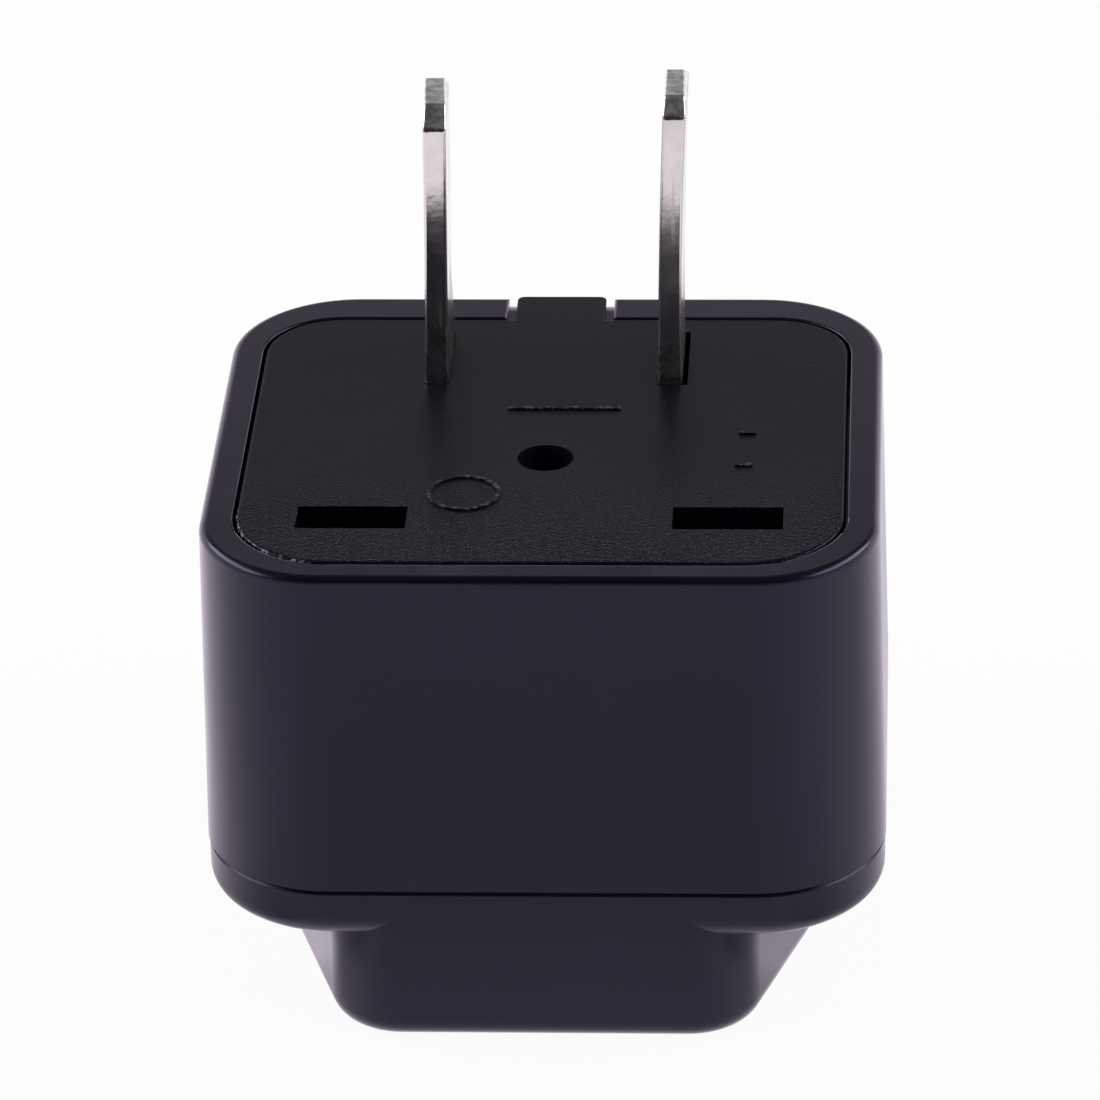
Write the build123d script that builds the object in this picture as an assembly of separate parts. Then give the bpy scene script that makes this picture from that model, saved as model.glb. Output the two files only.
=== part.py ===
from build123d import *
from math import atan2, cos, radians, sin, sqrt, tan
import os

# A travel adapter that stands on its socket end, with two flat blades pointing up.
# Millimetres. The origin is the middle of the socket face, +Z runs along the blades,
# and -Y is the side that the narrow end of the socket boss faces.

# Body shell
BODY_WIDTH = 35.7
BODY_DEPTH = 33.3
BODY_CORNER = 7.0
RIM_HEIGHT = 27.8
SEAM_HEIGHT = 9.1
WALL_DRAFT = 1.0
RIM_ROUND = 0.45
SEAM_CHAMFER = 0.14

# Opening in the housing for the face plate: the rim around it, its corners and its ledge
RIM_SIDE = 1.725
RIM_FRONT = 1.66
RIM_REAR = 2.695
OPENING_FRONT_CORNER = 5.5
OPENING_REAR_CORNER = 4.2
OPENING_ROUND = 0.12
LEDGE_WIDTH = 0.8
LEDGE_HEIGHT = 1.1

# Face plate
PLATE_GAP = 0.14
PLATE_REAR_GAP = 0.04
PLATE_RECESS = 0.05
PLATE_THICKNESS = 2.0
PLATE_EDGE_ROUND = 0.2
WINDOW_WIDTH = 5.8
WINDOW_DEPTH = 2.47
WINDOW_X = 9.88
WINDOW_FRONT_MARGIN = 4.055

# Key at the back of the plate, and the notch in the rear wall that takes it
KEY_WIDTH = 4.95
KEY_OVERHANG = 0.12
KEY_CORNER = 0.4
KEY_ROUND = 0.06
KEY_CLEARANCE = 0.05
NOTCH_WIDTH = 5.85
NOTCH_DEPTH = 0.3
NOTCH_ROUND = 0.2
NOTCH_FALL_RUN = 1.2
NOTCH_FALL_RADIUS = 2.4

# Snap hooks under the windows, and the lugs on the front wall that they hold
HOOK_WIDTH = 5.0
HOOK_LEG = 1.2
HOOK_CATCH = 1.6
HOOK_CATCH_HEIGHT = 2.0
HOOK_LEAD = 1.2
HOOK_CLEARANCE = 0.1
LUG_WIDTH = 5.4
LUG_HEIGHT = 2.0
LUG_TOP = 20.5
LUG_CLEARANCE = 0.3

# Flat blades; each lean is in degrees to the right, first at the plate and then at the tip
BLADE_SPACING = 12.7
BLADE_THICKNESS = 1.25
BLADE_WIDTH = 6.35
BLADE_AHEAD = 5.1
BLADE_EDGE_ROUND = 0.2
BLADE_TIP_THICKNESS = 1.0
BLADE_TIP_HEIGHT = 0.75
BLADE_TIP_RUN = 1.45
BLADE_CLEARANCE = 0.06
LEFT_BLADE_LENGTH = 16.1
LEFT_BLADE_LEAN = (1.5, 0.9)
RIGHT_BLADE_LENGTH = 16.6
RIGHT_BLADE_LEAN = (0.2, 3.0)
RIGHT_SLOT_EXTRA = 0.26

# Plug pins that the socket takes, and the room around them
PIN_SPACING = 22.2
EARTH_DISTANCE = 22.2
FLAT_PIN_WIDTH = 6.35
FLAT_PIN_THICKNESS = 4.0
EARTH_PIN_WIDTH = 8.0
EARTH_PIN_LENGTH = 22.7
ROUND_PIN_SPACING = 19.0
ROUND_PIN_DIAMETER = 4.0
PIN_ROOM = 0.4
PIN_END_ROOM = 0.8
MOUTH_CORNER = 0.4
MOUTH_CHAMFER = 0.2

# Spring contacts
CONTACT_THICKNESS = 0.5
CONTACT_WIDTH = 5.4
CONTACT_SIDE_ROOM = 3.125
CONTACT_REAR_ROOM = 0.475
CONTACT_HALF_DEPTH = 2.5
CONTACT_GRIP = 3.4
CONTACT_MOUTH = 4.3
CONTACT_LIFT = 0.4
CONTACT_GRIP_HEIGHT = 11.5
CONTACT_SHOULDER_HEIGHT = 16.5
CONTACT_BEND = 0.4

# Rivets
RIVET_PITCH = 2.7
RIVET_SHIFT = 0.05
RIVET_AHEAD = 0.65
RIVET_DIAMETER = 1.6
RIVET_HEAD_DIAMETER = 2.5
RIVET_HEAD_HEIGHT = 0.6
RIVET_SINK = 0.55
RIVET_CLEARANCE = 0.05

# Socket cap
CAP_INSET = 0.06
CAP_BAND = 2.97
CAP_ROUND = 1.4
CAP_FLOOR = 2.2
CAP_WALL = 1.8
LIP_HEIGHT = 2.0
LIP_THICKNESS = 1.1
LIP_CLEARANCE = 0.1
LIP_RELIEF = 0.4

# Socket boss under the cap: narrow in front, flaring towards the back
BOSS_FRONT_HALF = 10.52
BOSS_REAR_HALF = 16.1
BOSS_FLARE = 18.2
BOSS_REAR_MARGIN = 1.7
BOSS_FRONT_CORNER = 4.0
BOSS_SIDE_CORNER = 4.0
BOSS_REAR_CORNER = 2.6
BOSS_ROUND = 1.15

# Posts of the cap that hold the blades up
POST_WIDTH = 2.2
POST_DEPTH = 4.0
POST_GAP = 0.8

# Assembly screw, driven from the socket face into a boss on the face plate
SCREW_BEHIND_EARTH = 8.36
PILOT_DIAMETER = 3.0
SCREW_CORE = 2.9
SCREW_TIP = 0.7
SCREW_POINT = 1.5
SCREW_LENGTH = 14.0
SCREW_HEAD_DIAMETER = 5.0
SCREW_HEAD_HEIGHT = 2.2
SCREW_HEAD_ROUND = 1.1
SCREW_RECESS_WIDTH = 0.9
SCREW_RECESS_LENGTH = 3.0
SCREW_RECESS_DEPTH = 1.2
SCREW_BOSS_DIAMETER = 6.6
SCREW_BOSS_END = 9.4
SCREW_SEAT = 3.0
SCREW_CLEARANCE = 0.3
TOWER_WALL = 1.0

# Levels and places that follow from the sizes above
PLATE_TOP = RIM_HEIGHT - PLATE_RECESS
PLATE_BOTTOM = PLATE_TOP - PLATE_THICKNESS
FOOT_BOTTOM = PLATE_BOTTOM - BLADE_THICKNESS
BRIDGE_BOTTOM = FOOT_BOTTOM - CONTACT_THICKNESS
NOTCH_FLOOR = RIM_HEIGHT - NOTCH_DEPTH
PLATE_SHIFT = PLATE_GAP - PLATE_REAR_GAP
CAP_UNDERSIDE = SEAM_HEIGHT - CAP_BAND
LIP_TOP = SEAM_HEIGHT + LIP_HEIGHT
CONTACT_LOW = SEAM_HEIGHT + CONTACT_LIFT
HEAD_SEAT = SCREW_BOSS_END - SCREW_SEAT
OPENING_WIDTH = BODY_WIDTH - 2 * RIM_SIDE
OPENING_DEPTH = BODY_DEPTH - RIM_FRONT - RIM_REAR
OPENING_FRONT_Y = RIM_FRONT - BODY_DEPTH / 2
OPENING_REAR_Y = BODY_DEPTH / 2 - RIM_REAR
OPENING_Y = (OPENING_FRONT_Y + OPENING_REAR_Y) / 2
WINDOW_Y = OPENING_FRONT_Y + WINDOW_FRONT_MARGIN + WINDOW_DEPTH / 2
PIN_LINE_Y = OPENING_REAR_Y - CONTACT_REAR_ROOM - CONTACT_HALF_DEPTH
EARTH_Y = PIN_LINE_Y - EARTH_DISTANCE
SCREW_Y = EARTH_Y + SCREW_BEHIND_EARTH
BLADE_X = BLADE_SPACING / 2
BLADE_FRONT_Y = PIN_LINE_Y - BLADE_AHEAD
BLADE_REAR_Y = BLADE_FRONT_Y + BLADE_WIDTH
BLADE_Y = (BLADE_FRONT_Y + BLADE_REAR_Y) / 2
CONTACT_OUTER_X = OPENING_WIDTH / 2 - CONTACT_SIDE_ROOM
CONTACT_INNER_X = CONTACT_OUTER_X - CONTACT_WIDTH
FOOT_REACH = CONTACT_OUTER_X
RIVET_MIDDLE = (CONTACT_INNER_X + CONTACT_OUTER_X) / 2 + RIVET_SHIFT
RIVET_X = (RIVET_MIDDLE - RIVET_PITCH / 2, RIVET_MIDDLE + RIVET_PITCH / 2)
RIVET_Y = PIN_LINE_Y - RIVET_AHEAD
HOOK_FACE_Y = WINDOW_Y + WINDOW_DEPTH / 2 + HOOK_CLEARANCE
SEAM_GROWTH = (RIM_HEIGHT - SEAM_HEIGHT) * tan(radians(WALL_DRAFT))
SEAM_WIDTH = BODY_WIDTH + 2 * SEAM_GROWTH
SEAM_DEPTH = BODY_DEPTH + 2 * SEAM_GROWTH
CAP_FRONT = CAP_INSET - SEAM_DEPTH / 2


def around(middle, width):
    """Lower and upper limit of a span, from its middle and its width."""
    return middle - width / 2, middle + width / 2


def block(x_range, y_range, z_range):
    """Box between two limits on each axis."""
    spans = [(min(r), max(r)) for r in (x_range, y_range, z_range)]
    size = [high - low for low, high in spans]
    centre = tuple((low + high) / 2 for low, high in spans)
    return Pos(*centre) * Box(*size)


def upright_cylinder(x, y, diameter, low, high):
    """Cylinder along Z between two heights."""
    return Pos(x, y, (low + high) / 2) * Cylinder(diameter / 2, high - low)


def round_corners(plan, corners, radius):
    """Round the corners of a flat plan that lie nearest to the given points."""
    nearest = [plan.vertices().sort_by_distance((x, y, 0))[0] for x, y in corners]
    return fillet(nearest, radius)


def rounded_plan(width, depth, front_corner, rear_corner):
    """Rectangle with one radius on its two front corners and another on its rear ones."""
    plan = Rectangle(width, depth)
    plan = fillet(plan.vertices().group_by(Axis.Y)[0], front_corner)
    return fillet(plan.vertices().group_by(Axis.Y)[-1], rear_corner)


def opening_prism(inset, low, high):
    """Prism of the plate opening's plan, drawn in by an inset, between two heights."""
    plan = rounded_plan(
        OPENING_WIDTH - 2 * inset,
        OPENING_DEPTH - 2 * inset,
        OPENING_FRONT_CORNER - inset,
        OPENING_REAR_CORNER - inset,
    )
    return Pos(0, OPENING_Y, low) * extrude(plan, high - low)


def notch_fall():
    """Cutter that lets the floor of the notch fall away in a curve towards the rear."""
    start = BODY_DEPTH / 2 - NOTCH_FALL_RUN
    end = SEAM_DEPTH / 2
    curve = []
    for y in (start, (start + end) / 2, end):
        drop = NOTCH_FALL_RADIUS - sqrt(NOTCH_FALL_RADIUS**2 - (y - start) ** 2)
        curve.append((y, NOTCH_FLOOR - drop))
    outline = ThreePointArc(*curve)
    outline += Polyline(curve[-1], (end, RIM_HEIGHT), (start, RIM_HEIGHT), curve[0])
    section = make_face(outline.edges())
    return Pos(-NOTCH_WIDTH / 2, 0, 0) * extrude(Plane.YZ * section, NOTCH_WIDTH)


def key_notch():
    """Cutter for the notch in the rear wall, with its two upper edges rounded."""
    half = NOTCH_WIDTH / 2
    slot = Pos(0, NOTCH_FLOOR + NOTCH_DEPTH / 2) * Rectangle(NOTCH_WIDTH, NOTCH_DEPTH)
    above = Pos(0, RIM_HEIGHT + NOTCH_DEPTH / 2) * Rectangle(2 * NOTCH_WIDTH, NOTCH_DEPTH)
    section = round_corners(slot + above, [(-half, RIM_HEIGHT), (half, RIM_HEIGHT)], NOTCH_ROUND)
    rear = SEAM_DEPTH / 2
    root = OPENING_REAR_Y - LEDGE_WIDTH
    notch = Pos(0, rear, 0) * extrude(Plane.XZ * section, rear - root)
    return notch + notch_fall()


def make_housing():
    """Drafted outer wall with the plate ledge, the key notch, the hook lugs and the pin groove."""
    plan = RectangleRounded(SEAM_WIDTH, SEAM_DEPTH, BODY_CORNER)
    shell = Pos(0, 0, SEAM_HEIGHT) * extrude(plan, RIM_HEIGHT - SEAM_HEIGHT, taper=WALL_DRAFT)
    shell = fillet(shell.edges().group_by(Axis.Z)[-1], RIM_ROUND)
    shell = chamfer(shell.edges().group_by(Axis.Z)[0], SEAM_CHAMFER)
    ledge_low = PLATE_BOTTOM - LEDGE_HEIGHT
    shell -= opening_prism(0, SEAM_HEIGHT, ledge_low)
    shell -= opening_prism(LEDGE_WIDTH, ledge_low, PLATE_BOTTOM)
    shell -= opening_prism(0, PLATE_BOTTOM, RIM_HEIGHT)
    top = shell.faces().sort_by(Axis.Z)[-1]
    shell = fillet(top.inner_wires()[0].edges(), OPENING_ROUND)
    shell -= key_notch()

    lug_end = HOOK_FACE_Y - LUG_CLEARANCE
    for side in (-1, 1):
        lug_x = around(side * WINDOW_X, LUG_WIDTH)
        lug_y = (OPENING_FRONT_Y - LEDGE_WIDTH, lug_end)
        shell += block(lug_x, lug_y, (LUG_TOP - LUG_HEIGHT, LUG_TOP))

    groove_x = around(0, FLAT_PIN_THICKNESS + PIN_ROOM)
    groove_y = around(EARTH_Y, EARTH_PIN_WIDTH + PIN_ROOM)
    return shell - block(groove_x, groove_y, (SEAM_HEIGHT, EARTH_PIN_LENGTH + PIN_END_ROOM))


def make_hook(side):
    """Leg with a catch that holds the lug, under the window on one side."""
    front = HOOK_FACE_Y
    catch_top = LUG_TOP - LUG_HEIGHT - HOOK_CLEARANCE
    catch_low = catch_top - HOOK_CATCH_HEIGHT
    outline = Polyline(
        (front, PLATE_BOTTOM),
        (front, catch_top),
        (front - HOOK_CATCH, catch_top),
        (front - HOOK_CATCH, catch_low + HOOK_LEAD),
        (front, catch_low),
        (front + HOOK_LEG, catch_low),
        (front + HOOK_LEG, PLATE_BOTTOM),
        close=True,
    )
    start = side * WINDOW_X - HOOK_WIDTH / 2
    return Pos(start, 0, 0) * extrude(Plane.YZ * make_face(outline), HOOK_WIDTH)


def make_key():
    """Thin tongue at the back of the plate, level with it, that lies in the housing's notch."""
    front = OPENING_REAR_Y - LEDGE_WIDTH
    rear = BODY_DEPTH / 2 + KEY_OVERHANG
    half = KEY_WIDTH / 2
    low = NOTCH_FLOOR + KEY_CLEARANCE
    plan = Pos(0, (front + rear) / 2) * Rectangle(KEY_WIDTH, rear - front)
    plan = round_corners(plan, [(-half, rear), (half, rear)], KEY_CORNER)
    key = Pos(0, 0, low) * extrude(plan, PLATE_TOP - low)
    upper = key.edges().group_by(Axis.Z)[-1].sort_by(Axis.Y)[1:]
    return fillet(upper, KEY_ROUND)


def make_face_plate():
    """Plug face: blade slots, two windows, rear key, snap hooks and the screw boss."""
    plate = Pos(0, PLATE_SHIFT, 0) * opening_prism(PLATE_GAP, PLATE_BOTTOM, PLATE_TOP)
    plate = fillet(plate.edges().group_by(Axis.Z)[-1], PLATE_EDGE_ROUND)
    plate += make_key()

    through = (PLATE_BOTTOM, PLATE_TOP)
    slot_y = around(BLADE_Y, BLADE_WIDTH + 2 * BLADE_CLEARANCE)
    for side in (-1, 1):
        window_x = around(side * WINDOW_X, WINDOW_WIDTH)
        plate -= block(window_x, around(WINDOW_Y, WINDOW_DEPTH), through)
        plate += make_hook(side)
        low, high = around(side * BLADE_X, BLADE_THICKNESS + 2 * BLADE_CLEARANCE)
        if side > 0:
            high += RIGHT_SLOT_EXTRA
        plate -= block((low, high), slot_y, through)

    plate += upright_cylinder(0, SCREW_Y, SCREW_BOSS_DIAMETER, SCREW_BOSS_END, PLATE_BOTTOM)
    return plate - upright_cylinder(0, SCREW_Y, PILOT_DIAMETER, SCREW_BOSS_END, PLATE_TOP)


def blade_drift(height, length, lean):
    """Sideways drift of a blade at a height above the plate, for a lean that grows evenly."""
    root, tip = (tan(radians(angle)) for angle in lean)
    return root * height + (tip - root) * height**2 / (2 * length)


def make_blade(side, length, lean):
    """Blade that is upright in the plate, leans above it, and has a foot bent outwards below."""
    tip = PLATE_TOP + length
    shoulder = length - BLADE_TIP_HEIGHT
    half = BLADE_THICKNESS / 2
    tip_half = BLADE_TIP_THICKNESS / 2
    x = side * BLADE_X
    tip_x = x + blade_drift(length, length, lean)
    heights = (0, shoulder / 2, shoulder)
    middle = [(x + blade_drift(h, length, lean), PLATE_TOP + h) for h in heights]
    inner = [(across - side * half, up) for across, up in middle]
    outer = [(across + side * half, up) for across, up in middle]
    foot_start = (x - side * half, FOOT_BOTTOM)
    outline = Polyline(foot_start, inner[0]) + ThreePointArc(*inner)
    outline += Polyline(
        inner[-1], (tip_x - side * tip_half, tip), (tip_x + side * tip_half, tip), outer[-1]
    )
    outline += ThreePointArc(*reversed(outer))
    outline += Polyline(
        outer[0],
        (x + side * half, PLATE_BOTTOM),
        (side * FOOT_REACH, PLATE_BOTTOM),
        (side * FOOT_REACH, FOOT_BOTTOM),
        foot_start,
    )
    section = make_face(outline.edges())
    blade = Pos(0, BLADE_REAR_Y, 0) * extrude(Plane.XZ * section, BLADE_WIDTH)

    for edge, inward in ((BLADE_FRONT_Y, 1), (BLADE_REAR_Y, -1)):
        low = PLATE_TOP + shoulder
        corner = make_face(
            Polyline((edge, low), (edge + inward * BLADE_TIP_RUN, tip), (edge, tip), close=True)
        )
        blade -= Pos(x - BLADE_WIDTH, 0, 0) * extrude(Plane.YZ * corner, 2 * BLADE_WIDTH)
    rounded = []
    for edge in blade.edges():
        size = edge.bounding_box().size
        if size.Z > length / 2 and size.Y < BLADE_EDGE_ROUND:
            rounded.append(edge)
    blade = fillet(rounded, BLADE_EDGE_ROUND)

    hole = RIVET_DIAMETER + 2 * RIVET_CLEARANCE
    for rivet_x in RIVET_X:
        blade -= upright_cylinder(side * rivet_x, RIVET_Y, hole, FOOT_BOTTOM, PLATE_BOTTOM)
        blade -= rivet_sink(side * rivet_x, RIVET_CLEARANCE)
    return blade


def rivet_sink(x, clearance):
    """Countersunk end of a rivet, level with the top of the blade's foot."""
    low = RIVET_DIAMETER / 2 + clearance
    high = RIVET_HEAD_DIAMETER / 2 + clearance
    return Pos(x, RIVET_Y, PLATE_BOTTOM - RIVET_SINK / 2) * Cone(low, high, RIVET_SINK)


def make_rivet(x):
    """Rivet through the contact's bridge and the blade's foot."""
    head_low = BRIDGE_BOTTOM - RIVET_HEAD_HEIGHT
    rivet = upright_cylinder(x, RIVET_Y, RIVET_DIAMETER, BRIDGE_BOTTOM, PLATE_BOTTOM)
    rivet += upright_cylinder(x, RIVET_Y, RIVET_HEAD_DIAMETER, head_low, BRIDGE_BOTTOM)
    return rivet + rivet_sink(x, 0)


def strip_section(points, thickness):
    """Closed outline of a thin strip that follows a line of points, with mitred bends."""
    headings = [atan2(b[1] - a[1], b[0] - a[0]) for a, b in zip(points, points[1:])]
    starts = headings[:1] + headings
    ends = headings + headings[-1:]
    sides = ([], [])
    for (y, z), before, after in zip(points, starts, ends):
        middle = (before + after) / 2
        reach = thickness / 2 / cos((after - before) / 2)
        sides[0].append((y - reach * sin(middle), z + reach * cos(middle)))
        sides[1].append((y + reach * sin(middle), z - reach * cos(middle)))
    return make_face(Polyline(*sides[0], *reversed(sides[1]), close=True))


def make_contact(side):
    """Spring clip: a bridge under the blade's foot and two leaves that grip a pin."""
    half = CONTACT_THICKNESS / 2
    leg = CONTACT_HALF_DEPTH - half
    leaf = [
        (CONTACT_MOUTH / 2 + half, CONTACT_LOW),
        (CONTACT_GRIP / 2 + half, CONTACT_GRIP_HEIGHT),
        (leg, CONTACT_SHOULDER_HEIGHT),
        (leg, FOOT_BOTTOM - half),
    ]
    path = [(-y, z) for y, z in leaf] + list(reversed(leaf))
    section = Pos(PIN_LINE_Y, 0) * strip_section(path, CONTACT_THICKNESS)
    section = fillet(section.vertices().group_by(Axis.Y)[-1], CONTACT_BEND)
    start = CONTACT_INNER_X if side > 0 else -CONTACT_OUTER_X
    clip = Pos(start, 0, 0) * extrude(Plane.YZ * section, CONTACT_WIDTH)
    hole = RIVET_DIAMETER + 2 * RIVET_CLEARANCE
    for rivet_x in RIVET_X:
        clip -= upright_cylinder(side * rivet_x, RIVET_Y, hole, BRIDGE_BOTTOM, FOOT_BOTTOM)
    return clip


def boss_plan(inset):
    """Plan of the socket boss, drawn in by an inset."""
    front = CAP_FRONT + inset
    rear = -CAP_FRONT - BOSS_REAR_MARGIN - inset
    flare = tan(radians(BOSS_FLARE))
    front_half = BOSS_FRONT_HALF - inset / cos(radians(BOSS_FLARE)) + inset * flare
    rear_half = BOSS_REAR_HALF - inset
    kink = front + (rear_half - front_half) / flare
    right = [(front_half, front), (rear_half, kink), (rear_half, rear)]
    left = [(-x, y) for x, y in right]
    plan = make_face(Polyline(*right, *reversed(left), close=True))
    radii = (BOSS_FRONT_CORNER, BOSS_SIDE_CORNER, BOSS_REAR_CORNER)
    for one, other, radius in zip(right, left, radii):
        plan = round_corners(plan, [one, other], radius - inset)
    return plan


def pin_mouths():
    """Plans of the two line apertures and the earth aperture."""
    line = RectangleRounded(FLAT_PIN_WIDTH + PIN_ROOM, FLAT_PIN_THICKNESS + PIN_ROOM, MOUTH_CORNER)
    inward = (ROUND_PIN_SPACING - PIN_SPACING) / 2
    line += Pos(inward, 0) * Circle((ROUND_PIN_DIAMETER + PIN_ROOM) / 2)
    line = Pos(PIN_SPACING / 2, PIN_LINE_Y) * line
    earth_width = FLAT_PIN_THICKNESS + PIN_ROOM
    earth = RectangleRounded(earth_width, EARTH_PIN_WIDTH + PIN_ROOM, MOUTH_CORNER)
    return [line, mirror(line, Plane.YZ), Pos(0, EARTH_Y) * earth]


def make_lip():
    """Rim on the cap that fits inside the housing, open where the contacts and pins pass."""
    lip = opening_prism(LIP_CLEARANCE, SEAM_HEIGHT, LIP_TOP)
    lip -= opening_prism(LIP_CLEARANCE + LIP_THICKNESS, SEAM_HEIGHT, LIP_TOP)
    inner = CONTACT_INNER_X - LIP_RELIEF
    outer = (PIN_SPACING + FLAT_PIN_WIDTH) / 2 + LIP_RELIEF
    relief_y = (PIN_LINE_Y - CONTACT_HALF_DEPTH, BODY_DEPTH / 2)
    for side in (-1, 1):
        lip -= block((side * inner, side * outer), relief_y, (SEAM_HEIGHT, LIP_TOP))
    return lip


def make_socket_cap():
    """Cap with the socket boss, its apertures, the screw tower, the blade posts and the lip."""
    width = SEAM_WIDTH - 2 * CAP_INSET
    depth = SEAM_DEPTH - 2 * CAP_INSET
    outline = RectangleRounded(width, depth, BODY_CORNER)
    slab = Pos(0, 0, CAP_UNDERSIDE) * extrude(outline, CAP_BAND)
    slab = fillet(slab.edges().group_by(Axis.Z)[0], CAP_ROUND)
    slab = chamfer(slab.edges().group_by(Axis.Z)[-1], SEAM_CHAMFER)
    boss = extrude(boss_plan(0), CAP_UNDERSIDE + CAP_ROUND)
    boss = fillet(boss.edges().group_by(Axis.Z)[0], BOSS_ROUND)
    cap = slab + boss
    cap -= Pos(0, 0, CAP_FLOOR) * extrude(boss_plan(CAP_WALL), SEAM_HEIGHT - CAP_FLOOR)
    cap += make_lip()

    head_room = SCREW_HEAD_DIAMETER + 2 * SCREW_CLEARANCE
    core_room = SCREW_CORE + 2 * SCREW_CLEARANCE
    cap += upright_cylinder(0, SCREW_Y, head_room + 2 * TOWER_WALL, 0, SCREW_BOSS_END)
    cap -= upright_cylinder(0, SCREW_Y, head_room, 0, HEAD_SEAT)
    cap -= upright_cylinder(0, SCREW_Y, core_room, HEAD_SEAT, SCREW_BOSS_END)

    post_outer = CONTACT_INNER_X - POST_GAP
    for side in (-1, 1):
        post_x = (side * post_outer, side * (post_outer - POST_WIDTH))
        cap += block(post_x, around(BLADE_Y, POST_DEPTH), (0, FOOT_BOTTOM))

    for mouth in pin_mouths():
        cap -= extrude(mouth, LIP_TOP)
    socket_face = cap.faces().sort_by(Axis.Z)[0]
    mouth_edges = [edge for wire in socket_face.inner_wires() for edge in wire.edges()]
    return chamfer(mouth_edges, MOUTH_CHAMFER)


def make_screw():
    """Self-tapping screw with a rounded head and a cross recess; its thread is left plain."""
    low = HEAD_SEAT - SCREW_HEAD_HEIGHT
    point = HEAD_SEAT + SCREW_LENGTH - SCREW_POINT
    screw = upright_cylinder(0, SCREW_Y, SCREW_HEAD_DIAMETER, low, HEAD_SEAT)
    screw = fillet(screw.edges().group_by(Axis.Z)[0], SCREW_HEAD_ROUND)
    screw += upright_cylinder(0, SCREW_Y, SCREW_CORE, HEAD_SEAT, point)
    cone = Cone(SCREW_CORE / 2, SCREW_TIP / 2, SCREW_POINT)
    screw += Pos(0, SCREW_Y, point + SCREW_POINT / 2) * cone
    for length, width in (
        (SCREW_RECESS_LENGTH, SCREW_RECESS_WIDTH),
        (SCREW_RECESS_WIDTH, SCREW_RECESS_LENGTH),
    ):
        screw -= block(around(0, length), around(SCREW_Y, width), (low, low + SCREW_RECESS_DEPTH))
    return screw


PARTS = {
    "housing": make_housing(),
    "face_plate": make_face_plate(),
    "socket_cap": make_socket_cap(),
    "left_blade": make_blade(-1, LEFT_BLADE_LENGTH, LEFT_BLADE_LEAN),
    "right_blade": make_blade(1, RIGHT_BLADE_LENGTH, RIGHT_BLADE_LEAN),
    "left_contact": make_contact(-1),
    "right_contact": make_contact(1),
    "contact_rivets": Compound([make_rivet(side * x) for side in (-1, 1) for x in RIVET_X]),
    "assembly_screw": make_screw(),
}

os.makedirs("parts", exist_ok=True)
for name, part in PARTS.items():
    export_step(part, f"parts/{name}.step")
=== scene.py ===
"""Looks of a travel plug adapter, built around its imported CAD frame."""

import logging
import math
from collections.abc import Callable
from dataclasses import dataclass
from enum import Enum

import bpy
from mathutils import Matrix, Vector


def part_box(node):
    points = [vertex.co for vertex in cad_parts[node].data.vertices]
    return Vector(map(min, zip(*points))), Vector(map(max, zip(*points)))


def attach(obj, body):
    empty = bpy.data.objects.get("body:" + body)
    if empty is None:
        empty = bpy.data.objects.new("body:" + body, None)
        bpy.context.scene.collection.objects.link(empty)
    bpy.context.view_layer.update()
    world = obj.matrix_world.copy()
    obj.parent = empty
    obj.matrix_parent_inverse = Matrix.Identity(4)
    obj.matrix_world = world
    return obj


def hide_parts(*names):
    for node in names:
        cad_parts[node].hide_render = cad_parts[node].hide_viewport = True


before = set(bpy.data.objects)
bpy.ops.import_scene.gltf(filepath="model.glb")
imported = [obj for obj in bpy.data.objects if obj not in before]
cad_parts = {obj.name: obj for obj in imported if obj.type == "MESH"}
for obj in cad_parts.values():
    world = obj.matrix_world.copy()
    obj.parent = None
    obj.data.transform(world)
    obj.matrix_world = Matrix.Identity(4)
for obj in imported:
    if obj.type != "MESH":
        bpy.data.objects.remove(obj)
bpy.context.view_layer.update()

BODY = "root"
MM = 0.001
LOG = logging.getLogger("travel_adapter")

PLATE_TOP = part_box("face_plate")[1].z
SEAM_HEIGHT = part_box("housing")[0].z
LEFT_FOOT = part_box("left_blade")[0]

Colour = tuple[float, float, float]
Place = tuple[float, float, float]
Value = bpy.types.NodeSocket | float | tuple

WHITE: Colour = (1.0, 1.0, 1.0)


class Slot(Enum):
    """Material slots of the record."""

    SHELL = "shell_plastic"
    FACE = "face_plastic"
    BLADE = "blade_plating"
    BRASS = "contact_brass"
    SCREW = "screw_steel"


class Socket(Enum):
    """Kinds of socket that a node group shows."""

    VALUE = "NodeSocketFloat"
    VECTOR = "NodeSocketVector"


class Pick(Enum):
    """Kinds of mesh element that can be selected."""

    VERTEX = 0
    EDGE = 1
    FACE = 2


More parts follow.
